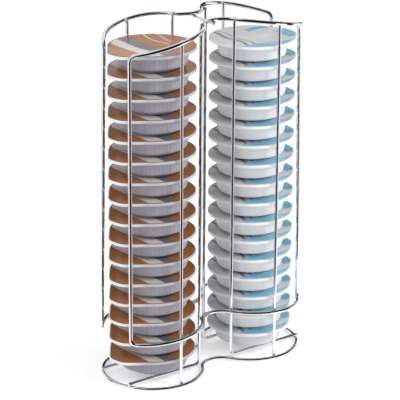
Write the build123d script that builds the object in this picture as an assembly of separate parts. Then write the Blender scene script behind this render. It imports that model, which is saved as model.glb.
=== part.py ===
from build123d import *

import math
import os

# Wire sizes, in millimetres
ring_wire = 3.5
rod_wire = 3.0
weld_sink = 0.3  # how deep two welded wires melt into each other
rod_end_round = 0.6

# Capsules, the load that the rack holds
capsules_per_column = 16
lid_radius = 37.5
flange_thickness = 0.8
foil_thickness = 0.4
foil_margin = 0.3
tab_round = 9.0
lip_height = 2.4  # of the turned-down lip along the edge of the flange
lip_width = 1.0
cup_wall = 0.8
cup_round = 2.5
inner_round_share = 0.68  # of the round outside
floor_ledge = 6.0  # from the edge of the cup's floor in to the boss under it
boss_round = 1.0
stack_gap = 0.3

# What differs between the capsules of the two columns
left_pitch = 18.15
left_rim_width = 5.0
left_side_taper = 3.0
left_boss_height = 3.4
left_tab_reach = 8.25
left_tab_width = 13.0
left_tab_turn = 10.0  # degrees by which the tab faces more to the front than straight outward
right_pitch = 17.6
right_rim_width = 6.0
right_side_taper = 2.5
right_boss_height = 2.4
right_tab_reach = 3.5
right_tab_width = 15.0
right_tab_turn = 6.0

# Plan of the rack, with X from column to column
lid_gap = 2.05  # between a lid and the rods around it
lobe_spread = 9.0  # by which the columns stand further apart than their loops' circles would
waist_half_width = 14.0
slot_half_angle = 30.0  # open gap at each end of the rack, as an angle about the lobe
corner_run = 5.0  # length that a loop's corner takes up along its top or bottom run
drawn_radius = 36.2  # of a top run's drawn-in end, which brings its upright close to the lids
draw_in_angle = 90.0  # where that end leaves the lobe's circle, from the lobe's outer end
rail_half_spacing = 20.5
rail_bend = 4.5
outer_upright_angle = 91.0  # left front and right rear uprights, from the lobe's outer end
inner_upright_angle = 94.0  # left rear and right front uprights, from the lobe's outer end

# Heights and slopes of the loops
seat_gap = 0.3
headroom = 16.1  # from the top of a full left column up to the loops' waist
top_fall = 13.5  # degrees by which each top run falls away from the waist
exit_height = 22.35  # from the top of the bottom capsule up to the loops' lower waist
lower_fall = 4.3
top_stub = 1.0  # rods end this far above the centre of the top run
foot_gap = 0.5  # uprights end this far above the floor
link_overhang = 3.2

# Places that follow from the sizes above, on wire centre lines
rod_radius = lid_radius + lid_gap + rod_wire / 2
lobe_radius = rod_radius + (ring_wire + rod_wire) / 2 - weld_sink
lobe_offset = lobe_radius + lobe_spread
waist_radius = (lobe_offset**2 + waist_half_width**2 - lobe_radius**2) / (
    2 * (lobe_radius - waist_half_width)
)
waist_offset = waist_half_width + waist_radius
waist_angle = math.degrees(math.atan2(waist_offset, lobe_offset))
slot_half_width = math.hypot(lobe_radius, corner_run) * math.sin(math.radians(slot_half_angle))
ring_height = ring_wire / 2
rail_height = ring_wire + rod_wire / 2 - weld_sink
rail_inner = math.sqrt(rod_radius**2 - rail_half_spacing**2)
rail_outer = math.sqrt(lobe_radius**2 - rail_half_spacing**2) + rod_wire / 2
seat_height = rail_height + rod_wire / 2 + seat_gap
waist_height = seat_height + capsules_per_column * left_pitch + headroom
lower_height = seat_height + left_pitch + exit_height


def tube(edges, wire):
    """A round wire of the given diameter along a chain of tangent edges."""
    path = Wire(edges)
    start = Plane(origin=path @ 0, z_dir=path % 0)
    return sweep(start * Circle(wire / 2), path=path)


def round_ends(rod):
    """The rod with its two flat ends rounded over."""
    area = math.pi * (rod_wire / 2) ** 2
    ends = [
        edge
        for face in rod.faces().filter_by(GeomType.PLANE)
        if math.isclose(face.area, area, rel_tol=0.01)
        for edge in face.edges()
    ]
    return fillet(ends, rod_end_round)


def run_height(height, fall, angle):
    """Height of a sloping run over the lobe's circle, at an angle from the lobe's outer end."""
    turned = math.radians(180 - waist_angle - angle)
    return height - math.tan(math.radians(fall)) * lobe_radius * (1 - math.cos(turned))


def run_arc(side, height, fall, radius, first_angle, last_angle):
    """Arc of a run over a lobe's front, which leaves the lobe's circle at the first angle."""
    toward_waist = Vector(-side * lobe_offset, -waist_offset, 0).normalized()
    centre_height = height - lobe_radius * math.tan(math.radians(fall))
    slope = math.cos(math.radians(fall))
    x_dir = toward_waist * slope + Vector(0, 0, math.sin(math.radians(fall)))
    along = Vector(0, 0, 1).cross(toward_waist)
    centre = (side * lobe_offset, 0, centre_height)
    plane = Plane(origin=centre, x_dir=x_dir, z_dir=x_dir.cross(along))
    first_turn = 180 - waist_angle - first_angle
    turn = first_angle - last_angle
    start = first_turn if side > 0 else -first_turn - turn
    inset = lobe_radius - radius
    up_slope = inset * math.cos(math.radians(first_turn)) / slope
    across = side * inset * math.sin(math.radians(first_turn))
    arc = EllipticalCenterArc(
        (up_slope, across), radius / slope, radius, start_angle=start, arc_size=turn
    )
    return plane * arc


def last_angle(radius):
    """Angle at which a run's end of that radius stops, so that its upright stands at the slot."""
    inset = (lobe_radius - radius) * math.sin(math.radians(draw_in_angle))
    upright_angle = math.asin((slot_half_width - inset) / math.hypot(radius, corner_run))
    return math.degrees(upright_angle + math.atan(corner_run / radius))


def run_arcs(height, fall, right_radius):
    """A run's arcs, from its left end over the waist to its right end of the given radius."""
    waist_end = 180 - waist_angle
    left = run_arc(-1, height, fall, lobe_radius, waist_end, last_angle(lobe_radius))
    right = run_arc(1, height, fall, lobe_radius, waist_end, draw_in_angle)
    right_end = run_arc(1, height, fall, right_radius, draw_in_angle, last_angle(right_radius))
    waist = ThreePointArc(left @ 1, (0, -waist_half_width, height), right @ 0)
    return [left, waist, right, right_end]


def run_ends(arcs):
    """The left and the right end of a run, each as its point and its outward direction."""
    return [(arcs[0] @ 0, (arcs[0] % 0) * -1), (arcs[-1] @ 1, arcs[-1] % 1)]


def corner_vertex(point, tangent):
    """Where a run, carried straight on past its end, meets its upright."""
    return point + tangent * (corner_run / math.hypot(tangent.X, tangent.Y))


def corner(point, tangent, upright):
    """Arc that turns the end of a run into the direction of its upright."""
    vertex = corner_vertex(point, tangent)
    leg = (vertex - point).length
    half_turn = math.radians(tangent.get_angle(upright)) / 2
    radius = leg / math.tan(half_turn)
    inward = (upright - tangent).normalized()
    middle = vertex + inward * (radius / math.cos(half_turn) - radius)
    return ThreePointArc(point, middle, vertex + upright * leg)


def loop_half(arcs, middles):
    """The front loop's upper or lower half: a run, two corners and half of each upright."""
    corners = []
    uprights = []
    for (point, tangent), middle in zip(run_ends(arcs), middles):
        direction = (middle - corner_vertex(point, tangent)).normalized()
        bend = corner(point, tangent, direction)
        corners.append(bend)
        uprights.append(Line(bend @ 1, middle))
    return tube([uprights[0], corners[0], *arcs, corners[1], uprights[1]], ring_wire)


def side_loop():
    """The front loop: one closed wire with a top run, two uprights and a lower run."""
    top = run_arcs(waist_height, top_fall, drawn_radius)
    bottom = run_arcs(lower_height, lower_fall, lobe_radius)
    middles = [
        (corner_vertex(*upper) + corner_vertex(*lower)) / 2
        for upper, lower in zip(run_ends(top), run_ends(bottom))
    ]
    return loop_half(top, middles) + loop_half(bottom, middles)


def base_ring():
    """The closed ring on the floor, in the outline of the two lobes and the waist."""
    waist_end = 180 - waist_angle
    left = run_arc(-1, ring_height, 0, lobe_radius, waist_end, 0)
    right = run_arc(1, ring_height, 0, lobe_radius, waist_end, 0)
    waist = ThreePointArc(left @ 1, (0, -waist_half_width, ring_height), right @ 0)
    front = tube([left, waist, right], ring_wire)
    return front + front.rotate(Axis.Z, 180)


def rail():
    """Left front rail: an upright on the inner side that bends out along the column's foot."""
    x = -lobe_offset + rail_inner
    y = -rail_half_spacing
    bend_top = rail_height + rail_bend
    bend_share = 1 - math.sqrt(0.5)
    bend_middle = (x - bend_share * rail_bend, y, rail_height + bend_share * rail_bend)
    upright = Line((x, y, waist_height + top_stub), (x, y, bend_top))
    bend = ThreePointArc((x, y, bend_top), bend_middle, (x - rail_bend, y, rail_height))
    run = Line((x - rail_bend, y, rail_height), (-lobe_offset - rail_outer, y, rail_height))
    return round_ends(tube([upright, bend, run], rod_wire))


def upright(angle):
    """Left front upright at an angle from the lobe's outer end, inside the ring and the loop."""
    turn = math.radians(180 + angle)
    x = -lobe_offset + rod_radius * math.cos(turn)
    y = rod_radius * math.sin(turn)
    length = run_height(waist_height, top_fall, angle) + top_stub - foot_gap
    rod = Cylinder(rod_wire / 2, length, align=(Align.CENTER, Align.CENTER, Align.MIN))
    return round_ends(Pos(x, y, foot_gap) * rod)


def top_link():
    """The short rod that ties the two loops together under their top runs at the waist."""
    length = 2 * (waist_half_width + link_overhang)
    height = waist_height - (ring_wire + rod_wire) / 2 + weld_sink
    rod = Rot(X=90) * Cylinder(rod_wire / 2, length)
    return round_ends(Pos(0, 0, height) * rod)


def rim_plate(tab_reach, tab_width, margin, thickness):
    """Round plate drawn out on the +X side to a blunt pull tab, smaller by a margin all round."""
    radius = lid_radius - margin
    reach = radius + tab_reach
    half_width = tab_width / 2 - margin
    to_corner = math.atan2(half_width, reach)
    touch_angle = to_corner + math.acos(radius / math.hypot(reach, half_width))
    touch_x = radius * math.cos(touch_angle)
    touch_y = radius * math.sin(touch_angle)
    outline = [
        ThreePointArc((touch_x, touch_y), (-radius, 0), (touch_x, -touch_y)),
        Line((touch_x, -touch_y), (reach, -half_width)),
        Line((reach, -half_width), (reach, half_width)),
        Line((reach, half_width), (touch_x, touch_y)),
    ]
    plate = make_face(outline)
    plate = fillet(plate.vertices().group_by(Axis.X)[-1], tab_round)
    return extrude(plate, thickness)


def cup_profile(offset, boss_radius, boss, floor, mouth, top):
    """Half section of the cup under its rim, drawn this far inside the outer surface."""
    outline = Polyline(
        (0, offset),
        (boss_radius - offset, offset),
        (boss_radius - offset, boss + offset),
        (floor - offset, boss + offset),
        (mouth - offset, top),
        (0, top),
        close=True,
    )
    return make_face(outline)


def capsule(pitch, rim_width, taper, boss, tab_reach, tab_width):
    """A flat capsule, foil lid up: a cup with flange, lip, tab and boss, and the foil on it."""
    mouth = lid_radius - rim_width
    floor = mouth - taper
    boss_radius = floor - floor_ledge
    foil_height = pitch - stack_gap - foil_thickness
    outside = cup_profile(0, boss_radius, boss, floor, mouth, foil_height)
    inside = cup_profile(cup_wall, boss_radius, boss, floor, mouth, foil_height)
    outer_edge = [v for v in outside.vertices() if math.isclose(v.X, floor)]
    outside = fillet(outer_edge, cup_round)
    inner_edge = [v for v in inside.vertices() if math.isclose(v.X, floor - cup_wall)]
    inside = fillet(inner_edge, inner_round_share * cup_round)
    boss_edge = [v for v in outside.vertices() if v.Y == 0 and v.X > 0]
    outside = fillet(boss_edge, boss_round)
    body = revolve(Plane.XZ * outside, Axis.Z)
    hollow = revolve(Plane.XZ * inside, Axis.Z)
    flange = rim_plate(tab_reach, tab_width, 0, flange_thickness)
    rim = Pos(0, 0, foil_height - flange_thickness) * flange
    lip_edge = rim_plate(tab_reach, tab_width, 0, lip_height)
    lip_inside = rim_plate(tab_reach, tab_width, lip_width, lip_height)
    lip = Pos(0, 0, foil_height - lip_height) * (lip_edge - lip_inside)
    cup = body + rim + lip - hollow
    foil = Pos(0, 0, foil_height) * rim_plate(tab_reach, tab_width, foil_margin, foil_thickness)
    return Compound([cup.solid(), foil.solid()])


def main():
    """Writes one STEP file for each piece."""
    os.makedirs("parts", exist_ok=True)
    half_turn = Rot(Z=180)
    across = Plane.XZ
    loop = side_loop()
    outer_upright = upright(outer_upright_angle)
    inner_upright = upright(inner_upright_angle)
    left_rail = rail()
    pieces = {
        "base_ring": base_ring(),
        "front_loop": loop,
        "rear_loop": half_turn * loop,
        "rail_left_front": left_rail,
        "rail_left_rear": mirror(left_rail, about=across),
        "rail_right_front": half_turn * mirror(left_rail, about=across),
        "rail_right_rear": half_turn * left_rail,
        "upright_left_front": outer_upright,
        "upright_left_rear": mirror(inner_upright, about=across),
        "upright_right_front": half_turn * mirror(inner_upright, about=across),
        "upright_right_rear": half_turn * outer_upright,
        "top_link": top_link(),
    }
    left = capsule(
        left_pitch,
        left_rim_width,
        left_side_taper,
        left_boss_height,
        left_tab_reach,
        left_tab_width,
    )
    right = capsule(
        right_pitch,
        right_rim_width,
        right_side_taper,
        right_boss_height,
        right_tab_reach,
        right_tab_width,
    )
    left_foot = Pos(-lobe_offset, 0, seat_height) * Rot(Z=180 + left_tab_turn)
    right_foot = Pos(lobe_offset, 0, seat_height) * Rot(Z=-right_tab_turn)
    for number in range(capsules_per_column):
        left_lift = Pos(0, 0, number * left_pitch)
        right_lift = Pos(0, 0, number * right_pitch)
        pieces[f"left_capsule_{number + 1:02d}"] = left_lift * left_foot * left
        pieces[f"right_capsule_{number + 1:02d}"] = right_lift * right_foot * right
    for name, piece in pieces.items():
        export_step(piece, f"parts/{name}.step")


main()
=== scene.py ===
import math

import bmesh
import bpy
import numpy as np
from mathutils import Matrix


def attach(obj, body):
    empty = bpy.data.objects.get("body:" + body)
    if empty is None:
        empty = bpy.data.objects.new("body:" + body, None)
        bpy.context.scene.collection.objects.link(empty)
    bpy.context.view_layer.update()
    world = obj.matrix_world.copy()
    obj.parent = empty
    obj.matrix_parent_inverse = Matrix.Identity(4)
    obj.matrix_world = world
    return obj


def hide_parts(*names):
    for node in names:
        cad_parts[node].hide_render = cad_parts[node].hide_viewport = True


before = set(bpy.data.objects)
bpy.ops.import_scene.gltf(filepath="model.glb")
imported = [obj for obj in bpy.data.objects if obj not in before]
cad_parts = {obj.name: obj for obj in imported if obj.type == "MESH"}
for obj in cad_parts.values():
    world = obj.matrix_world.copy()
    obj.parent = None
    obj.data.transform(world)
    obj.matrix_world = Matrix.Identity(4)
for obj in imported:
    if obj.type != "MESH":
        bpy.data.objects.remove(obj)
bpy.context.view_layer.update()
mm = 0.001
mergeDistance = 1e-6  # metres
print("frame loaded:", len(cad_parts), "nodes")


# sRGB hex to the linear colour that the shaders take: c / 12.92 when dark, else ((c + 0.055) / 1.055) ^ 2.4
def linear(hexColour):
    srgb = np.array([int(hexColour[i : i + 2], 16) for i in (1, 3, 5)]) / 255
    values = np.where(srgb <= 0.04045, srgb / 12.92, ((srgb + 0.055) / 1.055) ** 2.4)
    return (*values.tolist(), 1.0)


# adds one node; an input that is a socket, or a node whose first output is meant, is linked, any other is set
def addNode(tree, kind, inputs=None, **settings):
    node = tree.nodes.new(kind)
    for name, value in settings.items():
        setattr(node, name, value)
    for name, value in (inputs or {}).items():
        source = value.outputs[0] if isinstance(value, bpy.types.Node) else value
        if isinstance(source, bpy.types.NodeSocket):
            tree.links.new(source, node.inputs[name])
        else:
            node.inputs[name].default_value = source
    return node


def newMaterial(name):
    material = bpy.data.materials.new(name)
    material.use_nodes = True
    material.node_tree.nodes.clear()
    return material, material.node_tree


# grid[..., row, column] becomes quads, closed round the columns; equal points are merged, so poles and seams
# close too
def surfacePiece(name, grid, material, body, closeRows=False, uv=None, edge=None):
    rows, columns = grid.shape[-3:-1]
    index = np.arange(grid.size // 3).reshape(-1, rows, columns)
    if closeRows:
        index = np.concatenate([index, index[:, :1]], axis=1)
    index = np.concatenate([index, index[:, :, :1]], axis=2)
    corners = [index[:, :-1, :-1], index[:, :-1, 1:], index[:, 1:, 1:], index[:, 1:, :-1]]
    quads = np.stack(corners, -1).reshape(-1, 4)
    mesh = bpy.data.meshes.new(name)
    mesh.from_pydata(grid.reshape(-1, 3), [], quads)
    if uv is not None:
        layer = mesh.uv_layers.new(name="lidPlan")
        layer.data.foreach_set("uv", uv.reshape(-1, 2)[quads.reshape(-1)].astype(np.float32).ravel())
    if edge is not None:
        attribute = mesh.attributes.new("edgeInset", "FLOAT", "POINT")
        attribute.data.foreach_set("value", edge.reshape(-1).astype(np.float32))
    work = bmesh.new()
    work.from_mesh(mesh)
    bmesh.ops.remove_doubles(work, verts=work.verts, dist=mergeDistance)
    bmesh.ops.recalc_face_normals(work, faces=work.faces)
    work.to_mesh(mesh)
    work.free()
    mesh.polygons.foreach_set("use_smooth", np.ones(len(mesh.polygons), bool))
    mesh.materials.append(material)
    piece = bpy.data.objects.new(name, mesh)
    bpy.context.scene.collection.objects.link(piece)
    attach(piece, body)
    return piece


# the rack, in millimetres and degrees, on wire centre lines
rack = {
    "lobeRadius": 44.0,
    "lobeOffset": 53.0,
    "waistHalf": 14.0,
    "slotHalfAngle": 30.0,
    "cornerRun": 5.0,
    "drawnRadius": 36.2,
    "topHeight": 313.0,
    "topFall": 13.5,
    "lowHeight": 47.0,
    "lowFall": 4.3,
    "ringWire": 3.5,
    "rodWire": 3.0,
    "weldSink": 0.3,
    "endRound": 0.6,
    "railHalf": 20.5,
    "railBend": 4.5,
    "outerAngle": 91.0,
    "innerAngle": 94.0,
    "topStub": 1.0,
    "footGap": 0.5,
    "linkOverhang": 3.2,
    "weldRadius": 1.5,
    "weldStretch": 1.3,
}
# how finely the wires are drawn: the spacing along a run in millimetres, and numbers of points elsewhere
fineness = {
    "spacing": 1.2,
    "around": 20,
    "ringLobe": 95,
    "rod": 60,
    "rail": 24,
    "link": 20,
    "bend": 12,
    "corner": 9,
    "end": 6,
    "weldAround": 16,
    "weldDown": 9,
}
lobeRadius = rack["lobeRadius"]
lobeOffset = rack["lobeOffset"]
ringRadius = rack["ringWire"] / 2
rodRadius = rack["rodWire"] / 2
waistHalf = rack["waistHalf"]
waistRadius = (lobeOffset**2 + waistHalf**2 - lobeRadius**2) / (2 * (lobeRadius - waistHalf))
waistOffset = waistHalf + waistRadius
waistAngle = math.atan2(waistOffset, lobeOffset)
insideRadius = lobeRadius - ringRadius - rodRadius + rack["weldSink"]
halfTurn = np.array([-1.0, -1.0, 1.0])

# patterns on the wire and the plastic have their scales per metre; these swells are about 20 mm long
chromeLook = {
    "dull": "#DCDEE2",
    "bright": "#F2F3F5",
    "haze": {"Scale": 180.0, "Detail": 3.0},  # patches of about 6 mm
    "roughness": {"To Min": 0.03, "To Max": 0.08},
    "swell": {"Scale": 45.0, "Detail": 1.0},
    "swellBump": {"Strength": 0.05, "Distance": 0.001},
}


# wire as polished nickel-chrome plate over drawn steel: mirror-bright, with a slight swell and a little haze
def chromedSteelWire():
    material, tree = newMaterial("chromedSteelWire")
    place = addNode(tree, "ShaderNodeTexCoord").outputs["Object"]
    haze = addNode(tree, "ShaderNodeTexNoise", {"Vector": place, **chromeLook["haze"]})
    rough = addNode(tree, "ShaderNodeMapRange", {"Value": haze, **chromeLook["roughness"]})
    swell = addNode(tree, "ShaderNodeTexNoise", {"Vector": place, **chromeLook["swell"]})
    bump = addNode(tree, "ShaderNodeBump", {"Height": swell, **chromeLook["swellBump"]})
    tones = {1: linear(chromeLook["dull"]), 2: linear(chromeLook["bright"])}
    tone = addNode(tree, "ShaderNodeMixRGB", {"Fac": haze, **tones})
    inputs = {"Base Color": tone, "Metallic": 1.0, "Roughness": rough, "Normal": bump}
    surface = addNode(tree, "ShaderNodeBsdfPrincipled", inputs)
    addNode(tree, "ShaderNodeOutputMaterial", {"Surface": surface})
    return material


chrome = chromedSteelWire()


# each vector divided by its length
def unit(vectors):
    return vectors / np.linalg.norm(vectors, axis=-1, keepdims=True)


# points from start to end: (1 - s) start + s end
def straight(start, end, count):
    share = np.linspace(0, 1, count)[:, None]
    return np.array(start) * (1 - share) + np.array(end) * share


# a lobe's front: lobe centre plus radius times (side cos e, -sin e), e counted from the outer end
def lobeLine(side, angles, heights):
    normal = np.stack([side * np.cos(angles), -np.sin(angles), np.zeros_like(angles)], -1)
    points = np.array([side * lobeOffset, 0, 0]) + lobeRadius * normal
    points[:, 2] = heights
    return points, normal


# height of a run: level at the waist, then falling with the slope times the turn's versed sine
def runHeights(angles, height, fall):
    turned = math.pi - waistAngle - angles
    return height - math.tan(math.radians(fall)) * lobeRadius * (1 - np.cos(turned))


# the waist between the lobes: its centre, in front of the rack, plus radius times (sin t, cos t)
def waistLine(height):
    waistTurn = math.pi / 2 - waistAngle
    count = int(2 * waistRadius * waistTurn / fineness["spacing"])
    turn = np.linspace(-waistTurn, waistTurn, count)[1:-1]
    normal = -np.stack([np.sin(turn), np.cos(turn), np.zeros_like(turn)], -1)
    points = np.array([0, -waistOffset, 0]) - waistRadius * normal
    points[:, 2] = height
    return points, normal


# angle at which a run's end of this radius stops: asin of the slot's half width over the reach, plus the
# corner's part
def lastAngle(radius):
    reach = math.hypot(lobeRadius, rack["cornerRun"])
    slotHalf = reach * math.sin(math.radians(rack["slotHalfAngle"]))
    inset = lobeRadius - radius
    upright = math.asin((slotHalf - inset) / math.hypot(radius, rack["cornerRun"]))
    return upright + math.atan(rack["cornerRun"] / radius)


# the right end of a run: from e = 90 degrees on, r (cos e, -sin e) about a centre that lies (R - r) to the
# front, at the height of the run's plane there
def rightEnd(radius, height, fall):
    last = lastAngle(radius)
    count = int(radius * (math.pi / 2 - last) / fineness["spacing"])
    angles = np.linspace(math.pi / 2, last, count)[1:]
    normal = np.stack([np.cos(angles), -np.sin(angles), np.zeros_like(angles)], -1)
    points = np.array([lobeOffset, radius - lobeRadius, 0]) + radius * normal
    towardWaist = -(points[:, 0] - lobeOffset) * math.cos(waistAngle) - points[:, 1] * math.sin(waistAngle)
    points[:, 2] = height - math.tan(math.radians(fall)) * (lobeRadius - towardWaist)
    return points, normal


# one front run from the left lobe over the waist to the right lobe, whose end has a radius of its own
def frontRun(height, fall, endRadius):
    start = lastAngle(lobeRadius)
    count = int(lobeRadius * (math.pi - waistAngle - start) / fineness["spacing"])
    angles = np.linspace(start, math.pi - waistAngle, count)
    beside = np.linspace(math.pi - waistAngle, math.pi / 2, count // 2)
    parts = [
        lobeLine(-1, angles, runHeights(angles, height, fall)),
        waistLine(height),
        lobeLine(1, beside, runHeights(beside, height, fall)),
        rightEnd(endRadius, height, fall),
    ]
    return np.vstack([points for points, normal in parts]), np.vstack([normal for points, normal in parts])


# where a run, carried on past its end, meets its upright
def cornerVertex(point, tangent):
    return point + tangent * rack["cornerRun"] / math.hypot(tangent[0], tangent[1])


# arc from a point along a tangent into the upright's direction: p + r (sin a t + (1 - cos a) m)
def cornerArc(point, tangent, upright):
    leg = rack["cornerRun"] / math.hypot(tangent[0], tangent[1])
    turn = math.acos(float(tangent @ upright))
    radius = leg / math.tan(turn / 2)
    inward = unit(upright - (upright @ tangent) * tangent)
    a = np.linspace(0, turn, fineness["corner"])[1:, None]
    return point + radius * (np.sin(a) * tangent + (1 - np.cos(a)) * inward)


# one side of a loop, from the first point of the top run to that of the lower run: corner, upright, corner
def loopSide(top, low):
    ends = [(run[0], unit(run[0] - run[1])) for run in (top, low)]
    down = unit(cornerVertex(*ends[1]) - cornerVertex(*ends[0]))
    upper = cornerArc(*ends[0], down)
    lower = cornerArc(*ends[1], -down)
    return np.vstack([upper, straight(upper[-1], lower[-1], fineness["rod"])[1:-1], lower[::-1]])


# the front loop as one closed line: top run, right side, lower run and left side
def loopLine():
    top, topNormals = frontRun(rack["topHeight"], rack["topFall"], rack["drawnRadius"])
    low, lowNormals = frontRun(rack["lowHeight"], rack["lowFall"], lobeRadius)
    rightSide = loopSide(top[::-1], low[::-1])
    leftSide = loopSide(top, low)[::-1]
    normals = [
        topNormals,
        np.tile(topNormals[-1], (len(rightSide), 1)),
        lowNormals[::-1],
        np.tile(topNormals[0], (len(leftSide), 1)),
    ]
    return np.vstack([top, rightSide, low[::-1], leftSide]), np.vstack(normals)


# the base ring: a front half in the outline of the lobes and the waist, and its half turn
def ringLine():
    angles = np.linspace(0, math.pi - waistAngle, fineness["ringLobe"])
    left, leftNormals = lobeLine(-1, angles, ringRadius)
    right, rightNormals = lobeLine(1, angles[::-1], ringRadius)
    waist, waistNormals = waistLine(ringRadius)
    points = np.vstack([left, waist, right[:-1]])
    normals = np.vstack([leftNormals, waistNormals, rightNormals[:-1]])
    return np.vstack([points, points * halfTurn]), np.vstack([normals, normals * halfTurn])


# a circle carried along the path: p + r (cos a n + sin a (t x n))
def sweptWire(points, normals, radii, tangents):
    around = np.linspace(0, 2 * math.pi, fineness["around"], endpoint=False)
    side = unit(np.cross(tangents, normals))
    lift = np.cross(side, tangents)
    ring = np.cos(around)[None, :, None] * lift[:, None] + np.sin(around)[None, :, None] * side[:, None]
    return (points[:, None] + radii[:, None, None] * ring) * mm


# a closed wire: the tangent at a point runs from the one before it to the one after it
def closedWire(name, points, normals, wireRadius, node):
    tangents = unit(np.roll(points, -1, 0) - np.roll(points, 1, 0))
    grid = sweptWire(points, normals, np.full(len(points), wireRadius), tangents)
    piece = surfacePiece(name, grid, chrome, "rack", closeRows=True)
    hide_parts(node)


# an open wire whose ends are rounded by a quarter circle and closed at a pole
def openWire(name, points, normal, wireRadius, node):
    tangents = unit(np.gradient(points, axis=0))
    turn = np.linspace(math.pi / 2, 0, fineness["end"])
    shrink = np.append(0.0, wireRadius - rack["endRound"] * (1 - np.cos(turn)))
    reach = np.append(0.0, rack["endRound"] * (1 - np.sin(turn)))
    startPoints = points[0] + tangents[0] * reach[:, None]
    endPoints = points[-1] - tangents[-1] * reach[::-1, None]
    points = np.vstack([startPoints, points[1:-1], endPoints])
    radii = np.concatenate([shrink, np.full(len(points) - 2 * len(shrink), wireRadius), shrink[::-1]])
    added = len(reach) - 1
    tangents = np.pad(tangents, [(added, added), (0, 0)], mode="edge")
    grid = sweptWire(points, np.tile(normal, (len(points), 1)), radii, tangents)
    piece = surfacePiece(name, grid, chrome, "rack")
    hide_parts(node)


# the front loop, the rear one as its half turn, and the base ring
def buildLoops():
    points, normals = loopLine()
    closedWire("frontLoopWire", points, normals, ringRadius, "front_loop")
    closedWire("rearLoopWire", points * halfTurn, normals * halfTurn, ringRadius, "rear_loop")
    ring, ringNormals = ringLine()
    closedWire("baseRingWire", ring, ringNormals, ringRadius, "base_ring")


# each upright stands at its angle from the lobe's outer end, just inside the loops' circle
def buildUprights():
    places = {
        "upright_left_front": (-1, -1, rack["outerAngle"]),
        "upright_left_rear": (-1, 1, rack["innerAngle"]),
        "upright_right_front": (1, -1, rack["innerAngle"]),
        "upright_right_rear": (1, 1, rack["outerAngle"]),
    }
    for node, (sideX, sideY, degrees) in places.items():
        angle = math.radians(degrees)
        x = sideX * (lobeOffset + insideRadius * math.cos(angle))
        y = sideY * insideRadius * math.sin(angle)
        top = float(runHeights(np.array(angle), rack["topHeight"], rack["topFall"])) + rack["topStub"]
        line = straight((x, y, rack["footGap"]), (x, y, top), fineness["rod"])
        openWire(node + "_wire", line, (1.0, 0, 0), rodRadius, node)


# a rail: down beside the waist, a quarter circle outward, then level under the capsules
def buildRails():
    level = rack["ringWire"] + rodRadius - rack["weldSink"]
    bend = rack["railBend"]
    y = rack["railHalf"]
    innerX = lobeOffset - math.sqrt(insideRadius**2 - y**2)
    outerX = lobeOffset + math.sqrt(lobeRadius**2 - y**2) + rodRadius
    a = np.linspace(0, math.pi / 2, fineness["bend"])[1:-1]
    arc = np.stack([innerX + bend * (1 - np.cos(a)), np.full_like(a, y), level + bend * (1 - np.sin(a))], -1)
    top = rack["topHeight"] + rack["topStub"]
    down = straight((innerX, y, top), (innerX, y, level + bend), fineness["rod"])
    out = straight((innerX + bend, y, level), (outerX, y, level), fineness["rail"])
    line = np.vstack([down, arc, out])
    for side, sideX in (("left", -1.0), ("right", 1.0)):
        for end, sideY in (("front", -1.0), ("rear", 1.0)):
            node = f"rail_{side}_{end}"
            mirrored = line * np.array([sideX, sideY, 1.0])
            openWire(node + "_wire", mirrored, (0.0, sideY, 0.0), rodRadius, node)


# a straight rod under the two top runs, across the waist
def buildTopLink():
    reach = waistHalf + rack["linkOverhang"]
    height = rack["topHeight"] - ringRadius - rodRadius + rack["weldSink"]
    line = straight((0, -reach, height), (0, reach, height), fineness["link"])
    openWire("topLinkWire", line, (1.0, 0, 0), rodRadius, "top_link")


# spot welds where a rod meets a ring wire: p + r (cos u sin v, sin u sin v, s cos v), half sunk in both wires
def buildWelds():
    contact = lobeRadius - ringRadius + rack["weldSink"] / 2
    crossing = lobeOffset + math.sqrt(lobeRadius**2 - rack["railHalf"] ** 2)
    railHeight = rack["ringWire"] - rack["weldSink"] / 2
    linkHeight = rack["topHeight"] - ringRadius + rack["weldSink"] / 2
    rail = math.pi - math.asin(rack["railHalf"] / insideRadius)
    uprights = {1: math.radians(rack["outerAngle"]), -1: math.radians(rack["innerAngle"])}
    places = []
    for sideX in (-1, 1):
        for sideY in (-1, 1):
            upright = uprights[sideX * sideY]
            for turn in (upright, rail):
                x = sideX * (lobeOffset + contact * math.cos(turn))
                y = sideY * contact * math.sin(turn)
                for run in ("top", "low"):
                    height = float(runHeights(np.array(turn), rack[run + "Height"], rack[run + "Fall"]))
                    places.append((x, y, height))
                if turn == upright:
                    places.append((x, y, ringRadius))
            places.append((sideX * crossing, sideY * rack["railHalf"], railHeight))
        places.append((0, sideX * waistHalf, linkHeight))
    u = np.linspace(0, 2 * math.pi, fineness["weldAround"], endpoint=False)
    v = np.linspace(0, math.pi, fineness["weldDown"])[:, None]
    upward = rack["weldStretch"] * np.cos(v) + np.zeros_like(u)
    ball = np.stack([np.cos(u) * np.sin(v), np.sin(u) * np.sin(v), upward], -1)
    grid = (np.array(places)[:, None, None] + rack["weldRadius"] * ball) * mm
    surfacePiece("weldBeads", grid, chrome, "rack")


buildLoops()
buildUprights()
buildRails()
buildTopLink()
buildWelds()
print("wires built")


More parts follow.
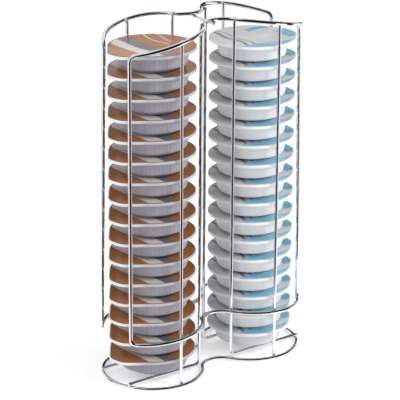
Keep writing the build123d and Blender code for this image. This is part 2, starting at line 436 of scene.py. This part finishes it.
# the capsules of each column, in millimetres: radii from a capsule's axis, and heights from its bottom, which
# is at the seat in the lowest one; outward is the way that the tab points, in degrees
leftCapsule = {
    "count": 16,
    "centreX": -53.0,
    "outward": 190.0,
    "tabReach": 8.25,
    "tabHalf": 8.0,
    "tabSoftness": 0.55,
    "foilInset": 0.9,
    "seat": 6.5,
    "pitch": 18.15,
    "height": 17.85,
    "mouth": 32.5,
    "floor": 29.5,
    "boss": 23.5,
    "bossHeight": 3.4,
    "flutes": 54,
    "fluteDepth": 0.4,
}
rightCapsule = {
    "count": 16,
    "centreX": 53.0,
    "outward": -6.0,
    "tabReach": 3.5,
    "tabHalf": 7.5,
    "tabSoftness": 1.5,
    "foilInset": 0.7,
    "seat": 6.5,
    "pitch": 17.6,
    "height": 17.3,
    "mouth": 31.5,
    "floor": 29.0,
    "boss": 23.0,
    "bossHeight": 2.4,
    "flutes": 54,
    "fluteDepth": 0.0,
}
# what all the capsules have in common, in millimetres; a share is a part of the wall's height
cup = {
    "dishDepth": 0.9,
    "dishEdge": 4.0,
    "dishSlope": 1.0,
    "wallStartShare": 0.15,
    "wallEndShare": 0.88,
    "shoulder": 2.2,
    "roundings": (0.4, 0.4, 1.0, 0.8, 1.4, 0, 0, 0.8),
    "roundingPoints": 5,
    "fluteFromBoss": 1.2,
    "fluteFromRim": 0.5,
    "fluteFade": 0.4,
}
lid = {
    "radius": 37.5,
    "rimThickness": 0.8,
    "lipHeight": 2.4,
    "lipWidth": 1.0,
    "foilThickness": 0.4,
    "foilSink": 0.02,
    "printSpan": 96.0,
    "columns": 432,  # points round a lid, eight for each flute
}
# points of the flange and of the foil in section, as pairs of millimetres
flange = {
    "lipRoot": ((0.6, 0.0), (0.1, 0.2), (0.0, 0.5)),  # in from the lip's inner side, down from the flange
    "lipInner": ((0.05, 0.25), (0.3, 0.0)),  # out from the lip's inner side, up from its foot
    "lipOuter": ((0.35, 0.0), (0.08, 0.3), (0.0, 0.8)),  # in from the lid's outline, up from the foot
    "topEdge": ((0.0, 0.6), (0.15, 0.15), (0.5, 0.0), (1.5, 0.05)),  # in from the outline, down
    "topDrop": 0.05,
}
foilSection = {
    "underEdge": ((0.4, 0.0), (0.05, lid["foilSink"])),  # in from the foil's edge, up from its underside
    "topEdge": ((0.0, 0.3), (0.1, 0.18), (0.4, 0.12)),  # in from the foil's edge, down from its top
    "seal": ((2.6, 0.12), (3.4, 0.14), (4.6, 0.22), (5.2, 0.22)),  # in from the lid's outline, down
    # out from the lid's middle, down
    "face": ((29.5, 0.12), (26.0, 0.08), (21.0, 0.06), (14.0, 0.05), (7.0, 0.05), (0.0, 0.05)),
}
lidAngles = np.linspace(0, 2 * math.pi, lid["columns"], endpoint=False)


# a polyline whose inner corners are turned into arcs of the given radii; an arc's centre lies on the corner's
# bisector, radius / sin(half its angle) away
def roundedLine(corners, radii, count):
    corners = np.array(corners, float)
    line = [corners[:1]]
    for before, corner, after, radius in zip(corners[:-2], corners[1:-1], corners[2:], radii):
        if radius == 0:
            line.append(corner[None])
            continue
        back = unit(before - corner)
        ahead = unit(after - corner)
        half = math.acos(float(np.clip(back @ ahead, -1, 1))) / 2
        centre = corner + unit(back + ahead) * radius / math.sin(half)
        start = corner + back * radius / math.tan(half) - centre
        end = corner + ahead * radius / math.tan(half) - centre
        line.append(centre + radius * unit(straight(start, end, count)))
    line.append(corners[-1:])
    return np.vstack(line)


# outline as a radius for each angle: the circle, and where its two tangents to the tab's corners lie outside
# it, the lower of d / cos(angle to the line's normal) for tangent and blunt end, blended as
# -log(e^-ka + e^-kb) / k
def lidOutline(size):
    off = np.abs((lidAngles - math.radians(size["outward"]) + math.pi) % (2 * math.pi) - math.pi)
    reach = lid["radius"] + size["tabReach"]
    cornerReach = math.hypot(reach, size["tabHalf"])
    touch = math.atan2(size["tabHalf"], reach) + math.acos(lid["radius"] / cornerReach)
    near = np.minimum(off, touch)
    end = reach / np.cos(near)
    flank = lid["radius"] / np.cos(touch - near)
    k = size["tabSoftness"]
    return np.maximum(-np.log(np.exp(-k * (end - flank)) + 1) / k + flank, lid["radius"])


# rows of (r, height, k) turned about the capsule's axis: radius = (1 - k) r + k (outline - r), so a row with
# k = 1 follows the tab at an inset of r
def ringSurface(profile, size, number):
    k = profile[:, 2:3]
    radius = profile[:, :1] * (1 - k) + (lidOutline(size)[None] - profile[:, :1]) * k
    return radius, profile[:, 1:2] + np.zeros_like(radius) + size["seat"] + number * size["pitch"]


# points about a column's axis at x: (x + r cos a, r sin a, height), in metres
def placed(radius, height, x):
    return np.stack([x + radius * np.cos(lidAngles), radius * np.sin(lidAngles), height], -1) * mm


# a cup's rows, and the height of its flange's underside: dished boss, sloping floor and wall and the flange,
# then the lip's inner side, foot and outer side and the flange's top
def cupProfile(size):
    top = size["height"] - lid["foilThickness"]
    under = top - lid["rimThickness"]
    foot = top - lid["lipHeight"]
    boss = size["boss"]
    wallFoot = np.array([size["floor"], size["bossHeight"]])
    wallTop = np.array([size["mouth"], under])
    wallShares = (0, cup["wallStartShare"], cup["wallEndShare"], 1)
    corners = [
        (0, cup["dishDepth"]),
        (boss - cup["dishEdge"] - cup["dishSlope"], cup["dishDepth"]),
        (boss - cup["dishEdge"], 0),
        (boss, 0),
        (boss, size["bossHeight"]),
        *[tuple(wallFoot * (1 - share) + wallTop * share) for share in wallShares],
        (size["mouth"] + cup["shoulder"], under),
    ]
    line = roundedLine(corners, cup["roundings"], cup["roundingPoints"])
    inside = lid["lipWidth"]
    lip = [(inside + inset, under - drop, 1) for inset, drop in flange["lipRoot"]]
    lip += [(inside - outset, foot + rise, 1) for outset, rise in flange["lipInner"]]
    lip += [(inset, foot + rise, 1) for inset, rise in flange["lipOuter"]]
    lip += [(inset, top - drop, 1) for inset, drop in flange["topEdge"]]
    lip.append((0, top - flange["topDrop"], 0))
    return np.vstack([np.column_stack([line, np.zeros(len(line))]), lip]), under


# the cup; its flutes press the wall in by depth times (1 - (0.5 + 0.5 cos(n angle)) ^ 2)
def cupPiece(name, size, number, material, body):
    profile, under = cupProfile(size)
    radius, height = ringSurface(profile, size, number)
    level = profile[:, 1:2]
    aboveBoss = np.clip((level - size["bossHeight"] - cup["fluteFromBoss"]) / cup["fluteFade"], 0, 1)
    belowRim = np.clip((under - cup["fluteFromRim"] - level) / cup["fluteFade"], 0, 1)
    onWall = profile[:, 2:3] == 0
    pressed = 1 - (0.5 + 0.5 * np.cos(size["flutes"] * lidAngles)) ** 2
    radius = radius - size["fluteDepth"] * aboveBoss * belowRim * onWall * pressed
    grid = placed(radius, height, size["centreX"])
    return surfacePiece(name, grid, material, body, edge=lidOutline(size)[None] - radius)


# the foil: its underside, a rounded edge, a dip at the seal and a face that rises a little to the middle
def foilPiece(name, size, number, material, body):
    top = size["height"]
    under = top - lid["foilThickness"] - lid["foilSink"]
    inside = size["foilInset"]
    profile = [(0, under, 0)]
    profile += [(inside + inset, under + rise, 1) for inset, rise in foilSection["underEdge"]]
    profile += [(inside + inset, top - drop, 1) for inset, drop in foilSection["topEdge"]]
    profile += [(inset, top - drop, 1) for inset, drop in foilSection["seal"]]
    profile += [(reach, top - drop, 0) for reach, drop in foilSection["face"]]
    radius, height = ringSurface(np.array(profile), size, number)
    grid = placed(radius, height, size["centreX"])
    plan = np.stack([radius * np.cos(lidAngles), radius * np.sin(lidAngles)], -1)
    uv = plan / lid["printSpan"] + 0.5
    return surfacePiece(name, grid, material, body, uv=uv, edge=lidOutline(size)[None] - radius)


# the rim's inset, for the rim's painted light, counts from the lid's outline in millimetres, and the tab's
# place, for the tabs' painted light, from the rack's middle in metres: first where the tone begins, then
# where it is full
plasticLook = {
    "streak": {"Scale": 260.0, "Detail": 2.0},  # about 4 mm apart
    "streakStretch": (1.0, 1.0, 0.12),
    "rimInset": {"From Min": 1.9, "From Max": 1.1},
    "tabPlace": {"From Min": 0.078, "From Max": 0.092},
    "grain": {"Scale": 900.0, "Detail": 2.0},  # about 1 mm, coarser than the real grain, so that it shows
    "grainBump": {"Strength": 0.08, "Distance": 0.0004},
    "body": {"IOR": 1.49, "Subsurface Weight": 0.08, "Subsurface Scale": 0.004},
}
leftPlasticLook = {
    "wall": "#B0AEB6",
    "streak": "#9E9CA6",
    # painted light: the rim is paler where its lip catches the light
    "rim": "#BCBBC1",
    # painted light: the tab is palest, for light that comes through it from below
    "tab": "#F4F2EE",
    "roughness": 0.34,
}
rightPlasticLook = {
    "wall": "#F3F3F4",
    "streak": "#E6E6E9",
    # painted light: the rim is paler where its lip catches the light
    "rim": "#F6F6F7",
    # painted light: the tab is palest, for light that comes through it from below
    "tab": "#FCFCFC",
    "roughness": 0.3,
}


# thermoformed polypropylene: satin, a little light passes into it, faint streaks run down the wall; the
# rolled rim is painted paler, a painted light where its lip catches the light, and painted palest out at the
# pull tab, a painted light for the light that comes in there from below
def formedPolypropylene(name, look):
    material, tree = newMaterial(name)
    shades = {part: linear(look[part]) for part in ("wall", "streak", "rim", "tab")}
    place = addNode(tree, "ShaderNodeTexCoord").outputs["Object"]
    squeeze = addNode(tree, "ShaderNodeMapping", {"Vector": place, "Scale": plasticLook["streakStretch"]})
    streak = addNode(tree, "ShaderNodeTexNoise", {"Vector": squeeze, **plasticLook["streak"]})
    wall = addNode(tree, "ShaderNodeMixRGB", {"Fac": streak, 1: shades["streak"], 2: shades["wall"]})
    # painted light: the rim's tone turns to the palest tab tone out at the rack's ends, where the pull tabs
    # are
    outward = addNode(tree, "ShaderNodeVectorMath", {0: place}, operation="ABSOLUTE")
    across = addNode(tree, "ShaderNodeSeparateXYZ", {0: outward}).outputs["X"]
    backlitTabMask = addNode(tree, "ShaderNodeMapRange", {"Value": across, **plasticLook["tabPlace"]})
    rim = addNode(tree, "ShaderNodeMixRGB", {"Fac": backlitTabMask, 1: shades["rim"], 2: shades["tab"]})
    # painted light: the paler rim tone is laid along the lid's outline
    inset = addNode(tree, "ShaderNodeAttribute", attribute_name="edgeInset").outputs["Fac"]
    litRimMask = addNode(tree, "ShaderNodeMapRange", {"Value": inset, **plasticLook["rimInset"]})
    rimmed = addNode(tree, "ShaderNodeMixRGB", {"Fac": litRimMask, 1: wall, 2: rim})
    grain = addNode(tree, "ShaderNodeTexNoise", {"Vector": place, **plasticLook["grain"]})
    bump = addNode(tree, "ShaderNodeBump", {"Height": grain, **plasticLook["grainBump"]})
    inputs = {"Base Color": rimmed, "Roughness": look["roughness"], "Normal": bump, **plasticLook["body"]}
    surface = addNode(tree, "ShaderNodeBsdfPrincipled", inputs)
    addNode(tree, "ShaderNodeOutputMaterial", {"Surface": surface})
    return material


# borderInset counts from the lid's outline: first where the border ends, then where the print is full; the
# foil's patterns have their scales per millimetre
foilLook = {
    "borderInset": {"From Min": 1.7, "From Max": 2.0},
    "stripeSoft": 0.25,
    "startFade": 0.4,
    "cloud": {"Scale": 0.12, "Detail": 2.0},  # patches of about 8 mm
    "cloudTint": {"To Min": 0.88, "To Max": 1.08},
    "ripple": {"Scale": 0.16, "Detail": 2.0},  # about 6 mm long
    "rippleBump": {"Strength": 0.2, "Distance": 0.002},
    "finish": {"Roughness": 0.3, "Coat Weight": 0.6, "Coat Roughness": 0.2},
}
# a lid's stripes, in millimetres from its centre: each runs along one axis between low and high across it,
# bent by a wave of (length, height, turn), and one with a start begins there
leftFoilLook = {
    "ground": "#AE6A32",
    "border": "#7C5A42",
    "stripes": [
        {"runs": "y", "low": -24.5, "high": -13.0, "wave": (90.0, 1.5, 0.6), "ink": "#DEDCDA"},
        {"runs": "y", "low": -13.0, "high": -2.5, "wave": (70.0, 2.0, 1.2), "ink": "#77767D"},
        {"runs": "y", "low": 12.0, "high": 14.0, "wave": (70.0, 3.5, 0.4), "ink": "#E2CDB0", "start": -6.0},
        {"runs": "y", "low": 20.0, "high": 24.0, "wave": (60.0, 3.0, 1.2), "ink": "#D0A67A", "start": -2.0},
    ],
}
rightFoilLook = {
    "ground": "#E0E0E2",
    "border": "#D2D3D6",
    "stripes": [
        {"runs": "y", "low": -22.5, "high": -19.0, "wave": (34.0, 1.6, 0.0), "ink": "#8C8D90"},
        {"runs": "y", "low": -15.5, "high": -13.5, "wave": (34.0, 1.6, 0.9), "ink": "#A2A3A6"},
        {"runs": "x", "low": -50.0, "high": -24.5, "wave": (80.0, 3.0, 0.3), "ink": "#82C8E4"},
        {"runs": "x", "low": -19.0, "high": 3.0, "wave": (80.0, 1.2, 1.0), "ink": "#82C6E2", "start": 25.5},
        {"runs": "x", "low": 14.0, "high": 21.0, "wave": (50.0, 2.0, 2.0), "ink": "#76BEDC", "start": 6.0},
    ],
}


# where a stripe is: a short ramp at each edge, moved by height times sin(2 pi along / length + turn)
def stripeMask(tree, stripe, across, along):
    length, height, turn = stripe["wave"]
    low, high, soft = stripe["low"], stripe["high"], foilLook["stripeSoft"]
    phase = {0: along, 1: 2 * math.pi / length, 2: turn}
    way = addNode(tree, "ShaderNodeMath", phase, operation="MULTIPLY_ADD")
    sine = addNode(tree, "ShaderNodeMath", {0: way}, operation="SINE")
    place = addNode(tree, "ShaderNodeMath", {0: sine, 1: height, 2: across}, operation="MULTIPLY_ADD")
    ramps = [(place, low - soft, low + soft), (place, high + soft, high - soft)]
    if "start" in stripe:
        ramps.append((along, stripe["start"], stripe["start"] + foilLook["startFade"]))
    mask = 1.0
    for value, start, end in ramps:
        ramp = addNode(tree, "ShaderNodeMapRange", {"Value": value, "From Min": start, "From Max": end})
        mask = addNode(tree, "ShaderNodeMath", {0: mask, 1: ramp}, operation="MULTIPLY")
    return mask


# heat-seal foil: printed lacquer over aluminium, glossy under its clear coat, with a plain border where it is
# sealed to the flange and a shallow ripple over the face
def printedFoil(name, look):
    material, tree = newMaterial(name)
    span = lid["printSpan"]
    plan = addNode(tree, "ShaderNodeUVMap", uv_map="lidPlan")
    inputs = {"Vector": plan, "Location": (-span / 2, -span / 2, 0), "Scale": (span, span, 1)}
    local = addNode(tree, "ShaderNodeMapping", inputs)
    axes = addNode(tree, "ShaderNodeSeparateXYZ", {0: local}).outputs
    colour = linear(look["ground"])
    for stripe in look["stripes"]:
        across, along = (axes["X"], axes["Y"]) if stripe["runs"] == "y" else (axes["Y"], axes["X"])
        mask = stripeMask(tree, stripe, across, along)
        colour = addNode(tree, "ShaderNodeMixRGB", {"Fac": mask, 1: colour, 2: linear(stripe["ink"])})
    inset = addNode(tree, "ShaderNodeAttribute", attribute_name="edgeInset").outputs["Fac"]
    edge = addNode(tree, "ShaderNodeMapRange", {"Value": inset, **foilLook["borderInset"]})
    bordered = addNode(tree, "ShaderNodeMixRGB", {"Fac": edge, 1: linear(look["border"]), 2: colour})
    cloud = addNode(tree, "ShaderNodeTexNoise", {"Vector": local, **foilLook["cloud"]})
    tint = addNode(tree, "ShaderNodeMapRange", {"Value": cloud, **foilLook["cloudTint"]})
    toned = addNode(tree, "ShaderNodeVectorMath", {0: bordered, 1: tint}, operation="MULTIPLY")
    ripple = addNode(tree, "ShaderNodeTexNoise", {"Vector": local, **foilLook["ripple"]})
    bump = addNode(tree, "ShaderNodeBump", {"Height": ripple, **foilLook["rippleBump"]})
    inputs = {"Base Color": toned, "Normal": bump, **foilLook["finish"]}
    surface = addNode(tree, "ShaderNodeBsdfPrincipled", inputs)
    addNode(tree, "ShaderNodeOutputMaterial", {"Surface": surface})
    return material


leftPlastic = formedPolypropylene("leftFormedPolypropylene", leftPlasticLook)
rightPlastic = formedPolypropylene("rightFormedPolypropylene", rightPlasticLook)
leftFoil = printedFoil("leftPrintedFoil", leftFoilLook)
rightFoil = printedFoil("rightPrintedFoil", rightFoilLook)


# a column's capsules from the bottom up, each a cup and a foil
def buildColumn(side, size, plastic, foil):
    for number in range(size["count"]):
        node = f"{side}_capsule_{number + 1:02d}"
        shell = cupPiece(node + "_cup", size, number, plastic, node)
        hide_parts(node)
        foilPiece(node + "_foil", size, number, foil, node)


buildColumn("left", leftCapsule, leftPlastic, leftFoil)
buildColumn("right", rightCapsule, rightPlastic, rightFoil)
print("capsules built")


# studio: a pale floor and a white tent, soft lamps, and dark cards that only gloss sees, as in a product
# photo; the tent's cards are in degrees, counted from the camera's side, and lengths are in metres
studio = {
    "floorSize": 6.0,
    "floorColour": "#F4F4F4",
    "floorGlow": 0.35,
    "tentStrength": 0.66,
    "glossStrength": 0.9,
    "cardShade": 0.02,
    "cards": (
        {"turn": 37, "halfWidth": 63, "low": -8, "high": 84},
        {"turn": 122, "halfWidth": 20, "low": 15, "high": 60},
    ),
    "cardSoft": 3.0,
    "lampAim": (0, 0, 0.15),
    "lamps": (
        {"name": "keyLamp", "azimuth": 30, "elevation": 35, "distance": 2.2, "size": 1.2, "power": 27},
        {"name": "fillLamp", "azimuth": -95, "elevation": 30, "distance": 2.4, "size": 1.4, "power": 14},
    ),
}
# standing cards, in millimetres: ends as (right, near) of the camera's view of the middle, and height
standingCards = {
    "frontCard": ((-190, 230), (330, 230), 450),
    "lowCard": ((-95, 150), (240, 150), 120),
    "backCard": ((-200, -330), (200, -330), 385),
    "leftCard": ((-360, -70), (-360, 40), 450),
    "rightCard": ((360, -70), (360, 60), 450),
}
cardLift = 1.0  # millimetres above the floor
# the camera, in degrees, millimetres and pixels, as fitted to the wires; it sees from clipStart on, in metres
cameraFit = {
    "azimuth": -36.689,
    "elevation": 19.667,
    "roll": 0.373,
    "distance": 1769.565,
    "target": (-1.503, 1.12, 148.342),
    "focalPixels": 2030.648,
    "framePixels": 400,
    "sensor": 36.0,
    "clipStart": 0.05,
    "clipEnd": 50,
}
white = (1, 1, 1, 1)


# the right, up and back vectors of a look at the object from an azimuth and elevation, in degrees
def viewAxes(azimuth, elevation):
    a = math.radians(azimuth)
    e = math.radians(elevation)
    back = np.array([math.sin(a) * math.cos(e), -math.cos(a) * math.cos(e), math.sin(e)])
    right = np.array([math.cos(a), math.sin(a), 0.0])
    return right, np.cross(back, right), back


# a lamp or camera whose axes are right, up and back
def placeHolder(name, data, right, up, back, place):
    holder = bpy.data.objects.new(name, data)
    bpy.context.scene.collection.objects.link(holder)
    rows = [[right[i], up[i], back[i], place[i]] for i in range(3)]
    holder.matrix_world = Matrix([*rows, [0, 0, 0, 1]])
    return holder


# one flat face that belongs to the studio and not to the object
def stageMesh(name, corners, material):
    mesh = bpy.data.meshes.new(name)
    mesh.from_pydata(corners, [], [tuple(range(len(corners)))])
    mesh.materials.append(material)
    piece = bpy.data.objects.new(name, mesh)
    bpy.context.scene.collection.objects.link(piece)
    return piece


# matte floor with a glow of its own that only the camera and gloss see, so it fades into the white
def buildFloor():
    material, tree = newMaterial("paleFloor")
    matte = addNode(tree, "ShaderNodeBsdfDiffuse", {"Color": linear(studio["floorColour"])})
    glow = addNode(tree, "ShaderNodeEmission", {"Color": white, "Strength": studio["floorGlow"]})
    path = addNode(tree, "ShaderNodeLightPath").outputs
    rays = {0: path["Is Camera Ray"], 1: path["Is Glossy Ray"]}
    seen = addNode(tree, "ShaderNodeMath", rays, operation="MAXIMUM")
    lit = addNode(tree, "ShaderNodeAddShader", {0: matte, 1: glow})
    whole = addNode(tree, "ShaderNodeMixShader", {0: seen, 1: matte, 2: lit})
    addNode(tree, "ShaderNodeOutputMaterial", {"Surface": whole})
    half = studio["floorSize"] / 2
    stageMesh("floor", [(-half, -half, 0), (half, -half, 0), (half, half, 0), (-half, half, 0)], material)


# dark upright cards about the object, which only gloss sees
def buildStandingCards():
    material, tree = newMaterial("darkCard")
    dark = addNode(tree, "ShaderNodeEmission", {"Color": white, "Strength": studio["cardShade"]})
    addNode(tree, "ShaderNodeOutputMaterial", {"Surface": dark})
    right, _, near = viewAxes(cameraFit["azimuth"], 0)
    for name, (start, end, height) in standingCards.items():
        ends = [(place[0] * right + place[1] * near)[:2] * mm for place in (start, end)]
        low = [(*place, cardLift * mm) for place in ends]
        high = [(*place, height * mm) for place in ends]
        card = stageMesh(name, [*low, *high[::-1]], material)
        card.visible_camera = False
        card.visible_diffuse = False
        card.visible_shadow = False
        card.visible_transmission = False


# one card of the tent: ramps of the cosine of the azimuth from its middle, and of the elevation's sine
def tentCard(tree, azimuth, rise, card):
    soft = math.radians(studio["cardSoft"])
    halfWidth, low, high = (math.radians(card[edge]) for edge in ("halfWidth", "low", "high"))
    a = math.radians(cameraFit["azimuth"])
    middle = math.atan2(-math.cos(a), math.sin(a)) + math.radians(card["turn"])
    offset = addNode(tree, "ShaderNodeMath", {0: azimuth, 1: middle}, operation="SUBTRACT")
    cosine = addNode(tree, "ShaderNodeMath", {0: offset}, operation="COSINE")
    ramps = (
        (cosine, math.cos(halfWidth + soft), math.cos(halfWidth - soft)),
        (rise, math.sin(low - soft), math.sin(low + soft)),
        (rise, math.sin(high + soft), math.sin(high - soft)),
    )
    inside = 1.0
    for value, start, end in ramps:
        ramp = addNode(tree, "ShaderNodeMapRange", {"Value": value, "From Min": start, "From Max": end})
        inside = addNode(tree, "ShaderNodeMath", {0: inside, 1: ramp}, operation="MULTIPLY")
    return inside


# the tent: white for the camera, a soft light for all else, and with dark cards where gloss looks
def buildTent():
    world = bpy.data.worlds.new("whiteTent")
    bpy.context.scene.world = world
    world.use_nodes = True
    tree = world.node_tree
    tree.nodes.clear()
    direction = addNode(tree, "ShaderNodeTexCoord").outputs["Generated"]
    axes = addNode(tree, "ShaderNodeSeparateXYZ", {0: direction}).outputs
    azimuth = addNode(tree, "ShaderNodeMath", {0: axes["Y"], 1: axes["X"]}, operation="ARCTAN2")
    dark = 0.0
    for card in studio["cards"]:
        inside = tentCard(tree, azimuth, axes["Z"], card)
        dark = addNode(tree, "ShaderNodeMath", {0: dark, 1: inside}, operation="MAXIMUM")
    ends = {"To Min": studio["glossStrength"], "To Max": studio["cardShade"]}
    shade = addNode(tree, "ShaderNodeMapRange", {"Value": dark, **ends})
    inGloss = addNode(tree, "ShaderNodeBackground", {"Color": white, "Strength": shade})
    byCamera = addNode(tree, "ShaderNodeBackground", {"Color": white, "Strength": 1.0})
    lighting = addNode(tree, "ShaderNodeBackground", {"Color": white, "Strength": studio["tentStrength"]})
    path = addNode(tree, "ShaderNodeLightPath").outputs
    glossOrLight = addNode(tree, "ShaderNodeMixShader", {0: path["Is Glossy Ray"], 1: lighting, 2: inGloss})
    rays = {0: path["Is Camera Ray"], 1: path["Is Transmission Ray"]}
    clear = addNode(tree, "ShaderNodeMath", rays, operation="MAXIMUM")
    whole = addNode(tree, "ShaderNodeMixShader", {0: clear, 1: glossOrLight, 2: byCamera})
    addNode(tree, "ShaderNodeOutputWorld", {"Surface": whole})


# soft round lamps that aim at the object's middle and aren't mirrored in it
def buildLamps():
    for lamp in studio["lamps"]:
        light = bpy.data.lights.new(lamp["name"], "AREA")
        light.shape = "DISK"
        light.size = lamp["size"]
        light.energy = lamp["power"]
        right, up, back = viewAxes(lamp["azimuth"], lamp["elevation"])
        place = np.array(studio["lampAim"]) + back * lamp["distance"]
        holder = placeHolder(lamp["name"], light, right, up, back, place)
        holder.visible_glossy = False


# the fitted camera, turned about its view by the roll
def buildCamera():
    right, up, back = viewAxes(cameraFit["azimuth"], cameraFit["elevation"])
    roll = math.radians(cameraFit["roll"])
    rolledRight = math.cos(roll) * right + math.sin(roll) * up
    rolledUp = -math.sin(roll) * right + math.cos(roll) * up
    camera = bpy.data.cameras.new("camera")
    camera.sensor_width = cameraFit["sensor"]
    camera.lens = cameraFit["focalPixels"] * cameraFit["sensor"] / cameraFit["framePixels"]
    camera.clip_start = cameraFit["clipStart"]
    camera.clip_end = cameraFit["clipEnd"]
    place = (np.array(cameraFit["target"]) + back * cameraFit["distance"]) * mm
    bpy.context.scene.camera = placeHolder("camera", camera, rolledRight, rolledUp, back, place)


buildFloor()
buildStandingCards()
buildTent()
buildLamps()
buildCamera()
bpy.context.scene.view_settings.view_transform = "Standard"
print("studio built")
